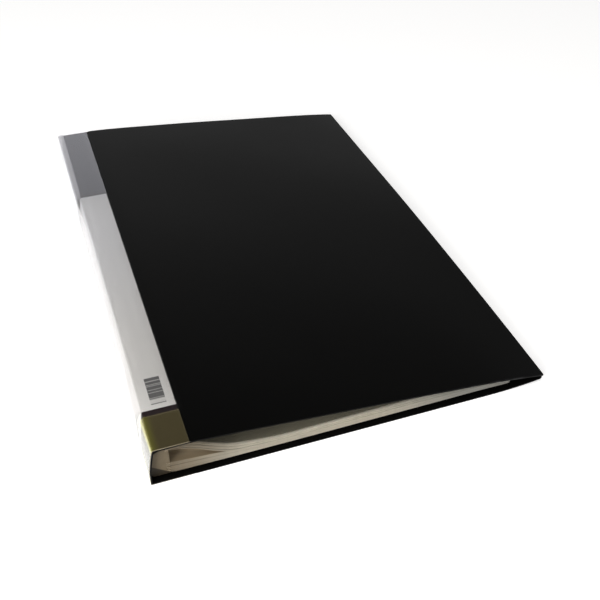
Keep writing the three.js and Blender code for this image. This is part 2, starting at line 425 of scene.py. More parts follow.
def round_rims(piece, width, keep_sharp):
    """Rounds the sharp edges of a thickened sheet, apart from those at a joint line."""

    def is_rim(edge):
        middle = (edge.verts[0].co + edge.verts[1].co) / 2
        is_sharp = edge.is_manifold and edge.calc_face_angle() > math.radians(RIM_ANGLE)
        return is_sharp and not keep_sharp(middle)

    enter_with_selected(piece, "edges", is_rim)
    bpy.ops.mesh.bevel(
        offset=width * MM, offset_pct=0, segments=2, affect="EDGES", clamp_overlap=True
    )
    bpy.ops.object.mode_set(mode="OBJECT")


def smooth(piece, angle=30):
    select_only(piece)
    bpy.ops.object.shade_smooth_by_angle(angle=math.radians(angle))


def dress(piece, finish):
    """Gives a piece its one material."""
    piece.data.materials.clear()
    piece.data.materials.append(finish)


def part_off(piece, name, x):
    """Parts a sheet along the cut nearest to x and closes both ends. Returns the outer part."""
    enter_with_selected(
        piece, "faces", lambda face: face.calc_center_bounds().x > place(x, 0, 0).x
    )
    bpy.ops.mesh.separate(type="SELECTED")
    bpy.ops.object.mode_set(mode="OBJECT")
    outer = next(part for part in bpy.context.selected_objects if part != piece)
    outer.name = outer.data.name = name
    for part in (piece, outer):
        enter_with_selected(part, "edges", lambda edge: edge.is_boundary)
        bpy.ops.mesh.edge_face_add()
        bpy.ops.object.mode_set(mode="OBJECT")
        smooth(part)
    return outer


def distances_along(path):
    """How far along a path each of its points is."""
    distances = [0]
    for (x0, z0), (x1, z1) in zip(path, path[1:]):
        distances.append(distances[-1] + math.hypot(x1 - x0, z1 - z0))
    return distances


def lay(piece, path, side, sway):
    """Lays a flat blank along a path of (x, z) points.

    sway moves it off the path by place: aside, up, and out on the side its faces turn from (1)
    or point to (-1).
    """
    distances = distances_along(path)
    for vertex in piece.data.vertices:
        run, y = vertex.co.x / MM, vertex.co.y / MM
        i = max([k for k in range(len(path) - 1) if distances[k] <= run + 1e-4], default=0)
        length = distances[i + 1] - distances[i]
        share = (run - distances[i]) / length
        along_x, along_z = path[i + 1][0] - path[i][0], path[i + 1][1] - path[i][1]
        x, z = path[i][0] + along_x * share, path[i][1] + along_z * share
        aside, up, out = sway(x, y, z) if sway else (0, 0, 0)
        out *= side / length
        vertex.co = place(x + aside + out * along_z, y, z + up - out * along_x)


def folded_sheet(name, path, near, far, thickness, side, finish, along, corner=0, sway=None,
                 joints_at=(), rim=SHEET_RIM):
    """A sheet laid along a path, with its thickness, rounded rims and finish.

    It is cut at every point of the path, and along at the places given. joints_at says where it
    meets its neighbours: the axis and the place on it, in the row frame, of each joint line.
    """
    distances = distances_along(path)
    piece = blank(name, distances[-1], near, far, distances[1:-1], along, corner)
    keep_flat_place(piece)
    lay(piece, path, side, sway)
    thicken(piece, thickness, side)

    def is_at_joint(middle):
        reach = JOINT_REACH * thickness * MM
        return any(abs(middle[axis] - stop * MM) < reach for axis, stop in joints_at)

    round_rims(piece, rim, is_at_joint)
    smooth(piece)
    dress(piece, finish)
    return piece


# Materials: expressions on sockets add Math nodes.


class Value:
    """A shader socket that takes part in sums."""

    def __init__(self, finish, socket):
        self.finish = finish
        self.socket = socket

    def output(self, key):
        """Another output of the same node."""
        return Value(self.finish, self.socket.node.outputs[key])

    def math(self, operation, first, second=0.0):
        return self.finish.node("Math", {"operation": operation}, {0: first, 1: second})

    def __add__(self, other):
        return self.math("ADD", self, other)

    def __sub__(self, other):
        return self.math("SUBTRACT", self, other)

    def __rsub__(self, other):
        return self.math("SUBTRACT", other, self)

    def __mul__(self, other):
        return self.math("MULTIPLY", self, other)

    def __pow__(self, other):
        return self.math("POWER", self, other)

    __radd__ = __add__
    __rmul__ = __mul__

    def floor(self):
        return self.math("FLOOR", self)

    def lesser(self, other):
        return self.math("MINIMUM", self, other)

    def greater(self, other):
        return self.math("MAXIMUM", self, other)

    def above(self, edge):
        """1 past an edge and 0 before it."""
        return self.math("GREATER_THAN", self, edge)

    def within(self, start, end):
        """1 between two edges and 0 outside them."""
        return self.above(start) * (1 - self.above(end))

    def rising(self, start, end):
        """0 before start, 1 after end, and smooth between."""
        return self.finish.node(
            "MapRange",
            {"interpolation_type": "SMOOTHSTEP"},
            {"Value": self, "From Min": start, "From Max": end},
        )

    def falling(self, start, end):
        """1 before start, 0 after end, and smooth between."""
        return 1 - self.rising(start, end)


class Finish:
    """A material, or the world's light, under construction."""

    def __init__(self, owner):
        owner.use_nodes = True
        self.owner = owner
        self.tree = owner.node_tree
        self.tree.nodes.clear()

    def node(self, kind, settings=None, inputs=None, output=0):
        """Adds a shader node: its settings first, then the values or links of its sockets.

        It gives back one of the node's outputs, where the node has any.
        """
        made = self.tree.nodes.new("ShaderNode" + kind)
        for name, value in (settings or {}).items():
            setattr(made, name, value)
        for key, value in (inputs or {}).items():
            if isinstance(value, Value):
                self.tree.links.new(value.socket, made.inputs[key])
            else:
                made.inputs[key].default_value = value
        return Value(self, made.outputs[output]) if made.outputs else None

    def flat(self):
        """The place on the flat blank, in metres."""
        return self.node("UVMap", {"uv_map": "flat"})

    def run_and_row(self):
        """The place on the flat blank as two numbers, in millimetres."""
        run = self.node("SeparateXYZ", None, {0: self.flat()})
        return run * (1 / MM), run.output(1) * (1 / MM)

    def on_piece(self):
        """The place on the piece in the row frame, in metres."""
        return self.node("TexCoord", output="Object")

    def in_section(self):
        """The place on the piece as two numbers, across and up, in millimetres of the section."""
        across = self.node("SeparateXYZ", None, {0: self.on_piece()})
        return across * (1 / MM) + COVER_WIDTH / 2, across.output(2) * (1 / MM)

    def noise(self, scale, detail, roughness, vector=None):
        """Fractal noise, with a scale per metre of the flat blank or of another vector."""
        return self.node(
            "TexNoise",
            None,
            {
                "Vector": vector or self.flat(),
                "Scale": scale,
                "Detail": detail,
                "Roughness": roughness,
            },
        )

    def blend(self, share, first, second):
        """Mixes two colours."""
        return self.node(
            "Mix", {"data_type": "RGBA"}, {0: share, 6: first, 7: second}, output=2
        )

    def bump(self, height, strength, distance):
        return self.node(
            "Bump", None, {"Height": height, "Strength": strength, "Distance": distance}
        )

    def shown(self, shader, output="OutputMaterial"):
        """Shows a shader, and returns the material or world that it makes."""
        self.node(output, None, {"Surface": shader})
        return self.owner

    def principled(self, sockets):
        """Shows a Principled shader with some of its sockets set or linked."""
        return self.shown(self.node("BsdfPrincipled", None, sockets))


def new_finish(name):
    return Finish(bpy.data.materials.new(name))


# Colours, as shares of linear light.

WHITE = (1, 1, 1, 1)

SATIN_BLACK = (0.0019, 0.0018, 0.0016, 1)
# A sheet's rim, lighter grey: wear, and a painted edge highlight.
RUBBED_AND_LIT_BLACK = (0.03, 0.03, 0.031, 1)
# A lighter purplish grey on the sheet in the slot between the films.
SLOT_PURPLE_GREY = (0.024, 0.017, 0.018, 1)
COOL_GLOSS = (0.9, 0.94, 1, 1)

FILM_OVER_CARD = (0.66, 0.65, 0.65, 1)
# The film past the card, painted brighter and bluer as a reflection.
PAINTED_SHEEN_PAST_CARD = (0.78, 0.78, 0.85, 1)
# A painted highlight along the fold at the sleeve's open end.
PAINTED_FOLD_HIGHLIGHT = (0.68, 0.68, 0.72, 1)
END_FILM_GREY = (0.8, 0.8, 0.77, 1)
# A warm yellow tint painted over the end film's top, as its reflection there.
WARM_REFLECTION_TINT = (0.52, 0.43, 0.21, 1)
# A painted glint beside the end film's fold, and its yellower painted reflection at the fold.
FOLD_GLINT = (0.95, 0.93, 0.5, 1)
YELLOW_FOLD_REFLECTION = (0.60, 0.56, 0.14, 1)
# A painted cream highlight along the end film's near edge.
CREAM_EDGE_HIGHLIGHT = (0.5, 0.43, 0.29, 1)

NEAR_CARD_SHADE = (0.79, 0.775, 0.75, 1)
FAR_CARD_SHADE = (0.775, 0.78, 0.81, 1)
NEAR_CARD_WHITE = (0.87, 0.86, 0.835, 1)
FAR_CARD_WHITE = (0.855, 0.86, 0.89, 1)
BAR_BLACK = (0.06, 0.06, 0.062, 1)

OLIVE_FILM = (0.4, 0.37, 0.275, 1)
# Near the spine the rims are painted darker and browner, as shade; the milky welded rims are painted
# lighter for the light their film edges carry.
SHADED_ROOT_RIM = (0.42, 0.345, 0.245, 1)
MILKY_LIT_RIM = (0.74, 0.69, 0.58, 1)
FORE_RIM = (0.52, 0.51, 0.47, 1)
RIM_STREAK = (0.5, 0.48, 0.4, 1)
# The gap between the pocket groups, its shade painted in brown, lighter further in.
GAP_SHADE_AT_RIM = (0.24, 0.185, 0.115, 1)
GAP_SHADE_FURTHER_IN = (0.8, 0.64, 0.44, 1)

WELD_BEIGE = (0.125, 0.098, 0.06, 1)
WELD_CREAM = (0.195, 0.155, 0.1, 1)
# Painted brown shade under the arch of the lowest root.
ARCH_SHADE_DARK = (0.02, 0.015, 0.009, 1)
ARCH_SHADE_BROWN = (0.045, 0.035, 0.022, 1)
SEAM_DARK = (0.01, 0.01, 0.01, 1)
SEAM_GREY = (0.05, 0.05, 0.045, 1)


def black_sheet_finish(name, slot_reach, rubbed_and_lit_from):
    """Satin black plastic sheet: fine grain, soft waves, a rim lighter grey in patches, and a
    purplish grey in the slot.

    The rim's lighter grey is wear with a painted edge highlight, and starts at the run that the last
    argument gives. The slot's purplish grey ends at slot_reach on the blank.
    """
    finish = new_finish(name)
    run, row = finish.run_and_row()
    rub = finish.noise(90, 6, 0.65)
    rim = row.lesser(COVER_LENGTH - row).falling(0.2, 1.2)
    # The rim is lighter grey in patches from the given run on: wear, and a painted edge highlight.
    worn_and_lit = rim * rub.rising(0.42, 0.62) * run.rising(rubbed_and_lit_from, rubbed_and_lit_from + 60)
    smudge = finish.noise(14, 4, 0.6)
    colour = finish.blend(worn_and_lit * 0.7, SATIN_BLACK, RUBBED_AND_LIT_BLACK)
    # In the slot between the films the sheet is a lighter purplish grey.
    slot_start = row.rising(END_FILM_LENGTH - 0.5, END_FILM_LENGTH + 0.1)
    slot = slot_start * row.falling(CARD_START, CARD_START + 0.6) * (1 - run.above(slot_reach))
    colour = finish.blend(slot, colour, SLOT_PURPLE_GREY)
    grain = finish.noise(2600, 2, 0.6)
    wave = finish.noise(11, 1, 0.4)
    return finish.principled({
        "Base Color": colour,
        "Roughness": 0.27 + smudge * 0.13 - worn_and_lit * 0.05,
        "Specular IOR Level": 0.062,
        "Specular Tint": COOL_GLOSS,
        "Normal": finish.bump(grain + wave * 14, 0.3, 0.00003),
    })


def clear_film_finish(name, at_end=False):
    """Glossy clear film: a faint haze, a mirror sheen that grows to the side, soft ripples.

    The long sleeve has a painted highlight along the fold of its open end, and past the card it is
    painted brighter and bluer, a painted reflection. The end film is painted a warm yellow over its
    top and yellower at its fold, a painted reflection, with a painted glint beside the fold and a
    painted cream highlight along its near edge. The ends that meet half way up the spine, at run 0,
    are left clear, since the real film has no joint there.
    """
    finish = new_finish(name)
    ripple = finish.noise(38, 2, 0.45)
    haze = finish.noise(210, 4, 0.7)
    facing = finish.node("LayerWeight", None, {"Blend": 0.5}, output="Facing")
    run, row = finish.run_and_row()
    if at_end:
        # At the fold the film has a painted yellower reflection, and a painted glint just before it.
        fold = run.rising(11.6, 12.8) * run.falling(13.4, 17.5)
        glow = run.rising(9.6, 11) * run.falling(12.0, 12.8)
        # Along the near edge the film has a painted cream highlight.
        edge = row.falling(0.3, 0.5)
        # Over the top the film is painted a darker warm yellow than on the spine side, a painted
        # reflection.
        colour = finish.blend(run.rising(10.5, 12.4), END_FILM_GREY, WARM_REFLECTION_TINT)
        colour = finish.blend(glow, colour, FOLD_GLINT)
        colour = finish.blend(fold, colour, YELLOW_FOLD_REFLECTION)
        colour = finish.blend(edge, colour, CREAM_EDGE_HIGHLIGHT)
        opacity = haze * 0.03 + facing**1.6 * 0.36 + facing**6 * 0.4 + 0.05
        opacity = opacity + fold * 0.04 + glow * 0.2 + edge * 0.36
        metal = 0.35 - edge * 0.35
    else:
        # Past the card the film is painted brighter and bluer, a painted reflection.
        sheen_past_card = row.rising(246, 262)
        border = row.rising(GAPE_START, GAPE_START + GAPE_RUN) * 1.5 + 13.5
        # Along the fold of the open end, past the card, the film has a painted highlight.
        white = run.falling(border - 0.2, border + 0.2) * sheen_past_card
        colour = finish.blend(sheen_past_card, FILM_OVER_CARD, PAINTED_SHEEN_PAST_CARD)
        colour = finish.blend(white, colour, PAINTED_FOLD_HIGHLIGHT)
        opacity = haze * 0.03 + facing**1.6 * 0.40 + facing**6 * 0.36 + 0.04 + white * 0.5
        metal = 0.6
    return finish.principled({
        "Base Color": colour,
        "Metallic": metal,
        "Roughness": haze * 0.08 + 0.1,
        "Alpha": opacity.lesser(run.above(0.02)),
        "Normal": finish.bump(ripple, 0.35, 0.0004),
    })


# The block of bars on the card's outer side: its rows and run, its pale rows, where its thick
# last bar starts, and how many bars or gaps there are to a millimetre.
BARS_ROWS = (32.7, 53.8)
BARS_RUN = (6.2, 14.7)
PALE_ROWS = (33.6, 36.4)
THICK_BAR_START = 51.4
BARS_PER_MM = 1.9
SHARE_OF_GAPS = 0.36
OUTER_SIDE_OF_CARD = SPINE_HEIGHT - CARD_DEPTH - CARD_THICKNESS / 2


def card_finish(name, is_front=False):
    """White card. The front panel curls over at its fold and carries a plain block of bars.

    The curl is in the bump's height, in millimetres, and fades out over the run from the fold.
    """
    finish = new_finish(name)
    fibre = finish.noise(700, 5, 0.7)
    mottle = finish.noise(45, 3, 0.5)
    run, row = finish.run_and_row()
    away = row.rising(40, 230)
    shade = finish.blend(away, NEAR_CARD_SHADE, FAR_CARD_SHADE)
    white = finish.blend(away, NEAR_CARD_WHITE, FAR_CARD_WHITE)
    colour = finish.blend(fibre * 0.6 + mottle * 0.4, shade, white)
    height = fibre * 0.015
    if is_front:
        from_fold = ((run - 0.9) * 0.11).greater(0.0).lesser(1.0)
        height = height - (1 - from_fold) ** 3 * 2.9
        tick = (row * BARS_PER_MM).floor()
        drawn = finish.node("TexWhiteNoise", {"noise_dimensions": "1D"}, {"W": tick})
        bar = drawn.above(SHARE_OF_GAPS).greater(row.above(THICK_BAR_START))
        block = row.within(*BARS_ROWS) * run.within(*BARS_RUN)
        block = block * finish.in_section()[1].above(OUTER_SIDE_OF_CARD)
        ink = (bar * 0.45 + 0.5) * (1 - row.within(*PALE_ROWS) * 0.8) * block
        colour = finish.blend(ink, colour, BAR_BLACK)
    return finish.principled({
        "Base Color": colour,
        "Roughness": 0.72,
        "Specular IOR Level": 0.3,
        "Normal": finish.bump(height, 1.0, MM),
    })


def pocket_finish(name, has_gap_shade=False):
    """Clear film that goes olive in depth, with milky welded rims, painted lighter for the light the
    film edges carry.

    The rims are browner near the spine, where they are painted darker as shade, and greyer far from
    it. The pocket under the gap between the groups has the gap's shade painted at its root, in brown
    that is lighter further in.
    """
    finish = new_finish(name)
    run, row = finish.run_and_row()
    across = finish.noise(60, 3, 0.55)
    streak = finish.noise(330, 3, 0.6)
    near_weld = row.falling(POCKET_NEAR + 0.5, POCKET_NEAR + 1.6)
    fore_weld = run.rising(POCKET_RUN - 4.4, POCKET_RUN - 3.2)
    weld = near_weld.greater(fore_weld)
    # The rims are painted darker and browner near the spine, as shade, and lighter in the middle for
    # the light the film edges carry.
    rim = finish.blend(run.rising(2, 45), SHADED_ROOT_RIM, MILKY_LIT_RIM)
    rim = finish.blend(run.rising(115, 185), rim, FORE_RIM)
    rim = finish.blend(streak.rising(0.35, 0.7) * 0.2, rim, RIM_STREAK)
    colour = finish.blend(weld, OLIVE_FILM, rim)
    opacity = 0.2 + across * 0.12 + weld * 0.7
    if has_gap_shade:
        # The gap between the groups: its shade painted in brown on this pocket's root, lighter
        # further in.
        gap_shade = run.falling(30, 35) * row.falling(18, 24) * row.rising(4.1, 4.4)
        brown = finish.blend(row.rising(4, 15), GAP_SHADE_AT_RIM, GAP_SHADE_FURTHER_IN)
        colour = finish.blend(gap_shade, colour, brown)
        opacity = opacity + gap_shade
    return finish.principled({
        "Base Color": colour,
        "Roughness": 0.24 + across * 0.12,
        "Alpha": opacity.lesser(1.0),
        "Normal": finish.bump(across, 0.3, 0.0006),
    })


def weld_finish():
    """The welded pocket roots: beige and streaked, with painted brown shade under the arch of the
    lowest root.
    """
    finish = new_finish("pocket_weld")
    across, up = finish.in_section()
    streak = finish.noise(260, 3, 0.6, finish.on_piece())
    over_arch = (up + across * 0.74).rising(10.6, 11.5)
    beige = finish.blend(streak, WELD_BEIGE, WELD_CREAM)
    # Under the arch the roots are painted in brown shade.
    brown = finish.blend(streak, ARCH_SHADE_DARK, ARCH_SHADE_BROWN)
    return finish.principled({
        "Base Color": finish.blend(over_arch, brown, beige),
        "Roughness": 0.45 + streak * 0.2,
        "Specular IOR Level": 0.25,
        "Normal": finish.bump(streak, 0.3, 0.0002),
    })


def seam_finish():
    """The thin weld under the film's edge: dark clear plastic, dotted."""
    finish = new_finish("sleeve_weld")
    dots = finish.noise(1500, 2, 0.5)
    return finish.principled({
        "Base Color": finish.blend(dots, SEAM_DARK, SEAM_GREY),
        "Roughness": 0.25 + dots * 0.2,
        "Alpha": 0.4 + dots * 0.3,
    })


# A run past the end of every blank, for sheets whose rims get neither wear nor a painted edge
# highlight.
PAST_THE_EDGE = 400

back_sheet = black_sheet_finish("back_sheet", slot_reach=13, rubbed_and_lit_from=PAST_THE_EDGE)
spine_sheet = black_sheet_finish("spine_sheet", slot_reach=40, rubbed_and_lit_from=PAST_THE_EDGE)
front_sheet = black_sheet_finish("front_sheet", slot_reach=9.4, rubbed_and_lit_from=130)
sleeve_film = clear_film_finish("sleeve_film")
end_film = clear_film_finish("end_film", at_end=True)
plain_card = card_finish("label_card")
printed_card = card_finish("label_card_printed", is_front=True)
pocket_film = pocket_finish("pocket_film")
gap_shaded_pocket_film = pocket_finish("pocket_film_taped", has_gap_shade=True)
pocket_weld = weld_finish()
sleeve_weld = seam_finish()


# The cover sheet, in three lengths that meet half way up the spine and half way along the band.

COVER_ROWS = [
    4, 8, 12, 16, 20, 22.5, 25, 27, 29.5, *spread(40, COVER_LENGTH - 45, 18),
    *spread(COVER_LENGTH - 35, COVER_LENGTH - 5, 10),
]
END_FILM_ROWS = [0.9, 4, 8, 12, 16, 20, 23]
SLEEVE_ROWS = [34, 44, 54, 64, 74, 84, 94, *spread(110, 290, 18), *spread(298, 352, 6)]

# The spine swells at the near end. The swell fades out up to SWELL_END along the book, and from
# SWELL_RADIUS to twice that across it. The films' gape stays this far inside the CAD's box.
SWELL_END = 27
SWELL_RADIUS = 4
CAD_BOX_MARGIN = 0.03

# The cover's margin is bent up a little, from here to the fore edge. Opened on a table the real one
# is pressed nearly flat again.
FORE_BEND = 182

# The height of the cover's arch at its fore edge, how far it leans to the near end, and the height
# of its waves. Then how far the sheet hugs the end film, and how far its near corner is drawn out.
FORE_ARCH = 2.65
FORE_ARCH_SKEW = 0.25
COVER_WAVE = 0.16
HUG_DEPTH = 0.44
CORNER_DRAW = 0.26

# How far outside a fold's arc the places lie that the bend functions reckon.
BEND_MARGIN = 0.4


def sheet_hug(x, y):
    """How far the sheet lies out against the end film, where no card parts them."""
    return HUG_DEPTH * (1 - ease((y - 24.5) / 5)) * (1 - ease((x - CREASE_X) / CREASE_RAMP))


def sharper_corner(x, y, z):
    """Draws the bottom fold out to a sharper corner at the near end."""
    bearing = math.atan2(z - FOLD_RADIUS, x - BOTTOM_REACH) % math.tau
    arc = math.radians(BOTTOM_BEARING - SPINE_BEARING)
    away = (bearing - math.radians(BOTTOM_MIDDLE)) / arc
    if abs(away) > 0.5:
        return 0
    return CORNER_DRAW * math.cos(math.pi * away) ** 3 * (1 - ease(y / SWELL_END))


def cover_wave(x, y, z):
    """The front cover's slight sag, its arched fore edge and its lifted far edge."""
    away = ease((x - CREASE_X - 4) / 40)
    wave = math.sin(x / 31 + y / 47) * math.sin(y / 58 + 0.6) + 0.5 * math.sin(x / 17 - y / 75)
    half_turn = math.pi * y / COVER_LENGTH
    bent = max(0, (x - FORE_BEND) / (COVER_WIDTH - FORE_BEND)) ** 2
    arch = (FORE_ARCH * math.sin(half_turn) + FORE_ARCH_SKEW * math.sin(2 * half_turn)) * bent
    far_stations = (24, 45, 90, 130, 165, 200, COVER_WIDTH)
    far = through(far_stations, (0, 0.75, 0.8, 0.5, 0, -0.5, -0.1), x)
    near = through((24, 60, 110, 200, COVER_WIDTH), (0, 0.45, 0.6, 0.5, 0.1), x)
    lift = far * ease((y - 235) / 120) + near * (1 - ease(y / 160))
    return 0, away * COVER_WAVE * wave + arch + lift, sheet_hug(x, y)


def sheet_swell(y, z):
    """How far the sheet's spine stands out over its crease at the near end."""
    heights = (0, 4, 8, 10, 14, 20, SPINE_HEIGHT)
    swell = (0, 0.46, 0.86, 0.95, 0.74, 0.36, 0)
    return through(heights, swell, z) * (1 - ease(y / SWELL_END))


def swollen_sheet(x, y, z):
    """The cover sheet's swell, its sharper corner and its hug of the end film."""
    corner = sharper_corner(x, y, z)
    swell = sheet_swell(y, z) * (1 - ease((x - SWELL_RADIUS) / SWELL_RADIUS))
    return -swell - corner, -corner, sheet_hug(x, y)


def swollen_film(x, y, z):
    """The films stand off the spine beside the slot, and the sleeve gapes at its open end.

    They follow the sheet's swell at the near end, are loose from 26 to 34 along the book, and
    come to rest over the next 60.
    """
    heights = (0, 4, 8, 12, 16, 19, 22, 24.4, SPINE_HEIGHT)
    loose = (0, 0.46, 0.92, 1.38, 1.8, 1.95, 1.55, 0.75, 0)
    sheet = sheet_swell(y, z)
    share = 0.15 + 0.85 * ease(y / 26) - 0.65 * ease((y - 34) / 60)
    swell = sheet + (through(heights, loose, z) - sheet) * share
    room = SPINE_LEAN * min(z, SPINE_HEIGHT - FOLD_RADIUS) / SPINE_HEIGHT - CAD_BOX_MARGIN
    gape = ease((y - GAPE_START) / GAPE_RUN) * max(0, room) * (1 - ease((x - 4.4) / 2.5))
    swell *= 1 - ease((x - SWELL_RADIUS) / SWELL_RADIUS)
    corner = sharper_corner(x, y, z)
    return -max(swell, gape) - corner, -corner, 0


def half_way_up(depth):
    """The axis and place of the joint line that two sheets at some depth share on the spine."""
    return 2, spine_point(SPINE_RUN / 2, depth)[1]


def add_cover():
    """The cover sheet. The front cover's margin is parted from it as a piece of its own."""
    on_spine = half_way_up(SHEET_DEPTH + SHEET_THICKNESS / 2)
    on_band = (0, BAND_MIDDLE - COVER_WIDTH / 2)
    back = folded_sheet(
        "back_cover_sheet", back_cover_path(), 0, COVER_LENGTH, SHEET_THICKNESS, 1, back_sheet,
        COVER_ROWS, BACK_CORNER, swollen_sheet, (on_spine,),
    )
    spine = folded_sheet(
        "spine_sheet", spine_path(), 0, COVER_LENGTH, SHEET_THICKNESS, -1, spine_sheet,
        COVER_ROWS, 0, swollen_sheet, (on_spine, on_band),
    )
    front = folded_sheet(
        "front_cover_sheet", front_cover_path(), 0, COVER_LENGTH, SHEET_THICKNESS, -1,
        front_sheet, COVER_ROWS, FRONT_CORNER, cover_wave, (on_band,),
    )
    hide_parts("back_cover", "spine_panel")
    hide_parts("spine_panel", "front_band")
    margin = part_off(front, "front_cover_margin", FORE_BEND)
    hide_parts("front_cover", "front_band")
    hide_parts("front_cover")
    bend_at_bottom_fold(back)
    bend_at_top_fold(spine)
    place(CREASE_X - 2 * BEND_MARGIN, 0, SPINE_HEIGHT)
    place(CREASE_X + 2 * BEND_MARGIN, 0, SPINE_HEIGHT)
    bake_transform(front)
    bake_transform(margin)


def bend_at_bottom_fold(piece):
    """Bakes the place of a piece that wraps the bottom fold, from the back cover to the spine, into
    its mesh.
    """
    spine_side = spine_point(BOTTOM_REACH + BEND_MARGIN, 0)
    place(BOTTOM_REACH + BEND_MARGIN, 0, 0)
    place(spine_side[0], 0, spine_side[1])
    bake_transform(piece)


def bend_at_top_fold(piece):
    """Bakes the place of a piece that wraps the top fold, from the spine to the front band, into its
    mesh.
    """
    spine_side = spine_point(SPINE_RUN - TOP_REACH - BEND_MARGIN, 0)
    place(spine_side[0], 0, spine_side[1])
    place(SPINE_LEAN + TOP_REACH + BEND_MARGIN, 0, SPINE_HEIGHT)
    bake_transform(piece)


def add_films():
    """The long sleeve and the short end film, each in two lengths that meet on the spine."""
    on_spine = (half_way_up(FILM_THICKNESS / 2),)
    for name, near, far, rows, finish in (
        ("sleeve", SLEEVE_START, COVER_LENGTH, SLEEVE_ROWS, sleeve_film),
        ("end_film", 0, END_FILM_LENGTH, END_FILM_ROWS, end_film),
    ):
        lower, upper = (
            folded_sheet(
                name + part, path, near, far, FILM_THICKNESS, side, finish, rows, 0,
                swollen_film, on_spine, FILM_RIM,
            )
            for part, path, side in (
                ("_lower", lower_film_path(), 1), ("_upper", upper_film_path(), -1),
            )
        )
        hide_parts(name + "_back", name + "_spine")
        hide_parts(name + "_front", name + "_spine")
        bend_at_bottom_fold(lower)
        bend_at_top_fold(upper)


def add_cards():
    """The label card's three panels, each curled to the middle of a fold."""
    rows = spread(CARD_START, CARD_START + CARD_LENGTH, 20)[1:-1]
    for name, path, side, finish in (
        ("card_back", card_back_path(), 1, plain_card),
        ("card_spine", card_spine_path(), -1, plain_card),
        ("card_front", card_front_path(), -1, printed_card),
    ):
        piece = folded_sheet(
            name, path, CARD_START, CARD_START + CARD_LENGTH, CARD_THICKNESS, side, finish,
            rows, rim=FILM_RIM,
        )
        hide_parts("label_" + name)
        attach(piece, name)


# The pockets: a lower and an upper group leave the binding and dip into one thin stack. The
# lines below follow the lowest and the highest pocket, and the steps from each to the next.

LINE_STATIONS = (POCKET_START, 12, 18, 25, 30, 35, 46, 60, 75, 90, 103, 130, 160, 190, POCKET_FORE)
LOWER_BOTTOM = (2.7, 2.0, 1.7, 1.6, 1.5, 1.45, 1.4, 1.4, 1.4, 1.45, 1.5, 1.7, 1.9, 2.2, 2.2)
LOWER_PITCH = (0.78, 0.8, 0.77, 0.72, 0.69, 0.65, 0.53, 0.38, 0.3, 0.31, 0.33, 0.34, 0.36, 0.32,
               0.225)
UPPER_TOP = (21.0, 21.3, 21.2, 20.4, 18.3, 15.8, 11.1, 8.8, 7.5, 7.6, 7.9, 8.4, 9.0, 8.5, 6.7)
UPPER_PITCH = (0.15, 0.15, 0.26, 0.45, 0.5, 0.53, 0.5, 0.38, 0.3, 0.31, 0.33, 0.34, 0.36, 0.32,
               0.225)
TIP_HEIGHT = 1.752
TIP_PITCH = 0.255

# How far each wall of a pocket stands off its middle at the welds, and how much more inside them.
WELD_GAP = 0.004
POUCH_GAP = 0.022

# The front wall's height over the back one on the blank, in metres, which tells the two apart.
FRONT_MARK = 1


def pocket_number(index):
    return f"{index + 1:02d}"


def pocket_bend(index):
    """The x and z of a pocket's joint line."""
    return joint_line(f"pocket_{pocket_number(index)}_turn")


def pocket_line(index, x):
    """The CAD's straight line from the bend to the tip."""
    bend_x, bend_z = pocket_bend(index)
    tip_z = TIP_HEIGHT + TIP_PITCH * index
    share = max(0, (x - bend_x) / (POCKET_FORE - bend_x))
    return bend_z + (tip_z - bend_z) * share


def pocket_height(index, x, y):
    """A pocket's height at a place: dipped at the near end, straighter further in."""
    if index < POCKET_COUNT / 2:
        lowest = through(LINE_STATIONS, LOWER_BOTTOM, x)
        dipped = lowest + index * through(LINE_STATIONS, LOWER_PITCH, x)
    else:
        highest = through(LINE_STATIONS, UPPER_TOP, x)
        from_top = POCKET_COUNT - 1 - index
        dipped = highest - from_top * through(LINE_STATIONS, UPPER_PITCH, x)
    straight = pocket_line(index, x)
    calm = 0.5 * ease((y - 30) / 110) * ease((x - 26) / 20)
    return dipped + (straight - dipped) * calm


def pocket_point(index, reach, y, is_front):
    """Where a place on the blank ends up.

    The two walls stand apart inside the welds, and the near ends don't line up quite.
    """
    from_rim = min(reach, POCKET_RUN - reach, y - POCKET_NEAR)
    gap = POUCH_GAP * ease(from_rim / 5) + WELD_GAP
    x = POCKET_START + reach
    shift = 0.3 * math.sin(index * 2.4) + 0.25 * math.sin(index * 1.1 + 1)
    ends_in = 1 - ease((y - POCKET_NEAR) / 30)
    z = pocket_height(index, x, y) + (gap if is_front else -gap)
    return place(x, y + shift * ends_in, z)


def add_pocket_blank():
    """Two flat walls, the front one short of the far end, that every pocket is a copy of."""
    across = [
        *spread(2, 30, 2.5), *spread(34, 100, 6), *spread(110, POCKET_RUN - 6, 12),
        POCKET_RUN - 3, POCKET_RUN - 1,
    ]
    rows = [*spread(POCKET_NEAR + 2, POCKET_NEAR + 6, 2), *spread(20, 340, 24)]
    back, front = (
        blank(name, POCKET_RUN, POCKET_NEAR, far, across, rows, POCKET_CORNER)
        for name, far in (("pocket_blank", POCKET_FAR), ("pocket_front", FRONT_FILM_FAR))
    )
    keep_flat_place(back)
    keep_flat_place(front)
    front.data.transform(Matrix.Translation((0, 0, FRONT_MARK)))
    select_only(back)
    front.select_set(True)
    bpy.ops.object.join()
    return back


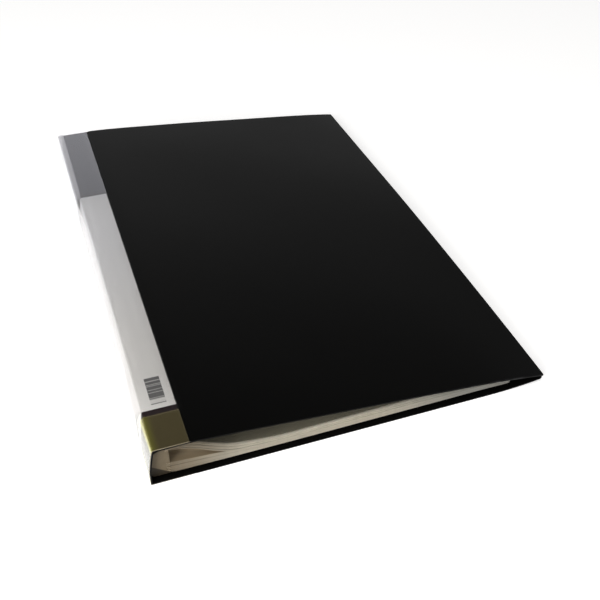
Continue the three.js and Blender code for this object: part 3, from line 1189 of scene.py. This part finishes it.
def add_pockets():
    """Copies of the blank, each laid at its own height."""
    pattern = add_pocket_blank()
    for index in range(POCKET_COUNT):
        number = pocket_number(index)
        piece = bpy.data.objects.new("pocket_" + number, pattern.data.copy())
        piece.data.name = piece.name
        bpy.context.scene.collection.objects.link(piece)
        for vertex in piece.data.vertices:
            reach, y = vertex.co.x / MM, vertex.co.y / MM
            vertex.co = pocket_point(index, reach, y, vertex.co.z > FRONT_MARK / 2)
        for polygon in piece.data.polygons:
            polygon.use_smooth = True
        thicken(piece, POCKET_FILM, 0)
        smooth(piece, angle=40)
        dress(piece, gap_shaded_pocket_film if index == GAP_SHADED_POCKET else pocket_film)
        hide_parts(f"pocket_{number}_back_film", f"pocket_{number}_front_film")
        bend_x, bend_z = pocket_bend(index)
        place(bend_x, 0, bend_z)
        place(bend_x + POCKET_BEND_LENGTH, 0, bend_z)
        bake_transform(piece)
    bpy.data.objects.remove(pattern)


# The welded roots' section, in columns from the sheet to where the films come out.

BLOCK_UPPER = ((1.95, 14.8), (2.6, 16.2), (4.2, 19.0), (6.6, 20.0), (9.4, 20.3), (12, 20.5))
BLOCK_LOWER = ((1.5, 3.2), (2.4, 1.9), (4.2, 1.62), (6.6, 1.62), (9.4, 1.65), (12, 1.8))
RIDGES = 40
RIDGE_DEPTH = 0.15
SUNK_IN_SHEET = 0.3
BLOCK_INSET = 0.2


def block_point(column, share):
    """A point of the block's section, by its column and its share of the way up."""
    (low_x, low_z), (high_x, high_z) = BLOCK_LOWER[column], BLOCK_UPPER[column]
    return low_x + (high_x - low_x) * share, low_z + (high_z - low_z) * share


def block_share(column, z):
    """A height's share of the way up a column."""
    low_z, high_z = BLOCK_LOWER[column][1], BLOCK_UPPER[column][1]
    return min(1, max(0, (z - low_z) / (high_z - low_z)))


def block_start(y, z):
    """Where the block may begin: sunk a little into the sheet's inner face, swell and all."""
    face = SPINE_LEAN * z / SPINE_HEIGHT + SHEET_DEPTH + SHEET_THICKNESS
    return face - SUNK_IN_SHEET - sheet_swell(y, z)


def add_comb(rows):
    """A grid at the block's outer column, ridged up its height, with the rows along the spine."""
    bpy.ops.object.select_all(action="DESELECT")
    bpy.ops.mesh.primitive_grid_add(
        x_subdivisions=RIDGES, y_subdivisions=len(rows) - 1, size=1, location=(0, 0, 0)
    )
    piece = bpy.context.object
    piece.name = piece.data.name = "pocket_binding_block"
    for vertex in piece.data.vertices:
        share = vertex.co.x + 0.5
        y = rows[round((vertex.co.y + 0.5) * (len(rows) - 1))]
        x, z = block_point(-1, share)
        vertex.co = place(x - RIDGE_DEPTH * (round(share * RIDGES) % 2), y, z)
    return piece


def draw_to_spine(piece):
    """Extrudes the comb column by column, up to the spine."""
    select_only(piece)
    bpy.ops.object.mode_set(mode="EDIT")
    bpy.ops.mesh.select_all(action="SELECT")
    for column in reversed(range(len(BLOCK_UPPER) - 1)):
        bpy.ops.mesh.extrude_region_move()
        mesh = bmesh.from_edit_mesh(piece.data)
        for vertex in mesh.verts:
            if vertex.select:
                x, z = block_point(column, block_share(column + 1, vertex.co.z / MM))
                vertex.co.x = (x - COVER_WIDTH / 2) * MM
                vertex.co.z = z * MM
        bmesh.update_edit_mesh(piece.data)
    bpy.ops.mesh.select_all(action="SELECT")
    bpy.ops.mesh.normals_make_consistent(inside=False)
    bpy.ops.object.mode_set(mode="OBJECT")


def add_binding():
    """The welded pocket roots: a block that fans out of the spine, ridged where films leave it."""
    near = spread(POCKET_NEAR + BLOCK_INSET, SWELL_END + 0.7, 4)
    piece = add_comb([*near, *spread(52, COVER_LENGTH - POCKET_NEAR - BLOCK_INSET, 24)])
    draw_to_spine(piece)
    for vertex in piece.data.vertices:
        y, z = vertex.co.y / MM + COVER_LENGTH / 2, vertex.co.z / MM
        vertex.co.x = max(vertex.co.x, place(block_start(y, z), 0, 0).x)
    smooth(piece, angle=35)
    dress(piece, pocket_weld)
    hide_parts("pocket_binding")
    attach(piece, "spine")


def add_seams():
    """The narrow welds that hold the films to the sheet along both creases."""
    for name, node, body, height, side in (
        ("sleeve_seam_front", "weld_seam_front", "front_band", SPINE_HEIGHT - SEAM_DEPTH, -1),
        ("sleeve_seam_back", "weld_seam_back", "back_cover", SEAM_DEPTH, 1),
    ):
        piece = folded_sheet(
            name, [(x, height) for x in SEAM_ACROSS], SEAM_START, COVER_LENGTH,
            SEAM_THICKNESS, side, sleeve_weld,
            spread(20, COVER_LENGTH - 20, 35), rim=SEAM_RIM,
        )
        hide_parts(node)
        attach(piece, body)


# The stage: a pale floor, a studio that is bright low down and dim overhead, and soft lamps.

FLOOR_GREY = (0.86, 0.86, 0.86, 1)
FLOOR_GLOW = 0.52
FLOOR_SIZE = 12
FLOOR_HEIGHT = -0.0002

CAMERA_PLACE = Vector((-0.141726, -0.482129, 0.364637))
CAMERA_AIM = Vector((0.256783, 0.73373, -0.629048)).normalized()
CAMERA_ROLL = math.radians(-0.0573)
CAMERA_LENS = 52.183
CAMERA_SENSOR = 36


def shown_directly(finish):
    """Two shares: 1 for rays from the camera, and 1 for those by way of gloss or glass."""
    camera = finish.node("LightPath", output="Is Camera Ray")
    return camera, camera.output("Is Glossy Ray").greater(camera.output("Is Transmission Ray"))


def add_floor():
    bpy.ops.object.select_all(action="DESELECT")
    bpy.ops.mesh.primitive_plane_add(size=FLOOR_SIZE, location=(0, 0, FLOOR_HEIGHT))
    floor = bpy.context.object
    floor.name = floor.data.name = "studio_floor"
    finish = new_finish("studio_floor")
    camera, mirrored = shown_directly(finish)
    paper = finish.node("BsdfDiffuse", None, {"Color": FLOOR_GREY})
    strength = camera.greater(mirrored) * FLOOR_GLOW
    glow = finish.node("Emission", None, {"Color": WHITE, "Strength": strength})
    dress(floor, finish.shown(finish.node("AddShader", None, {0: paper, 1: glow})))


def add_world():
    """A studio that is plain white to the camera, and else bright low down and dim overhead.

    Gloss sees it brighter than the matt surfaces do, and dimmer to the right.
    """
    world = bpy.data.worlds.new("studio")
    bpy.context.scene.world = world
    finish = Finish(world)
    camera, mirrored = shown_directly(finish)
    direction = finish.node("TexCoord", output="Generated")
    to_right = finish.node("SeparateXYZ", None, {0: direction})
    overhead = to_right.output(2).rising(0.3, 0.75)
    side = mirrored * to_right.rising(0.15, 0.5) * 0.35
    studio = (1 - overhead * 0.93) * (0.6 + mirrored * 0.4) * (1 - side)
    strength = camera + (1 - camera) * studio
    background = finish.node("Background", None, {"Color": WHITE, "Strength": strength})
    finish.shown(background, "OutputWorld")


def add_lamp(name, place_at, width, power, colour):
    """A square lamp, aimed at the book's middle."""
    lamp = bpy.data.lights.new(name, "AREA")
    lamp.size = width
    lamp.energy = power
    lamp.color = colour
    holder = bpy.data.objects.new(name, lamp)
    bpy.context.scene.collection.objects.link(holder)
    holder.location = place_at
    holder.rotation_mode = "QUATERNION"
    holder.rotation_quaternion = (-Vector(place_at)).to_track_quat("-Z", "Y")


def add_camera():
    camera = bpy.data.cameras.new("camera")
    camera.sensor_width = CAMERA_SENSOR
    camera.lens = CAMERA_LENS
    camera.clip_start, camera.clip_end = 0.01, 50
    holder = bpy.data.objects.new("camera", camera)
    bpy.context.scene.collection.objects.link(holder)
    level = CAMERA_AIM.cross(Vector((0, 0, 1))).normalized()
    upward = level.cross(CAMERA_AIM)
    right = level * math.cos(CAMERA_ROLL) + upward * math.sin(CAMERA_ROLL)
    top = upward * math.cos(CAMERA_ROLL) - level * math.sin(CAMERA_ROLL)
    turn = Matrix((right, top, -CAMERA_AIM)).transposed().to_4x4()
    holder.matrix_world = Matrix.Translation(CAMERA_PLACE) @ turn
    bpy.context.scene.camera = holder


add_cover()
add_films()
add_cards()
add_pockets()
add_binding()
add_seams()
add_floor()
add_world()
add_lamp("key", (-1.2, -0.9, 0.5), width=1.0, power=21, colour=(1, 0.99, 0.98))
add_lamp("front", (-0.15, -0.7, 1.75), width=0.9, power=12, colour=(1, 0.98, 0.95))
add_camera()
bpy.context.scene.view_settings.view_transform = "Standard"
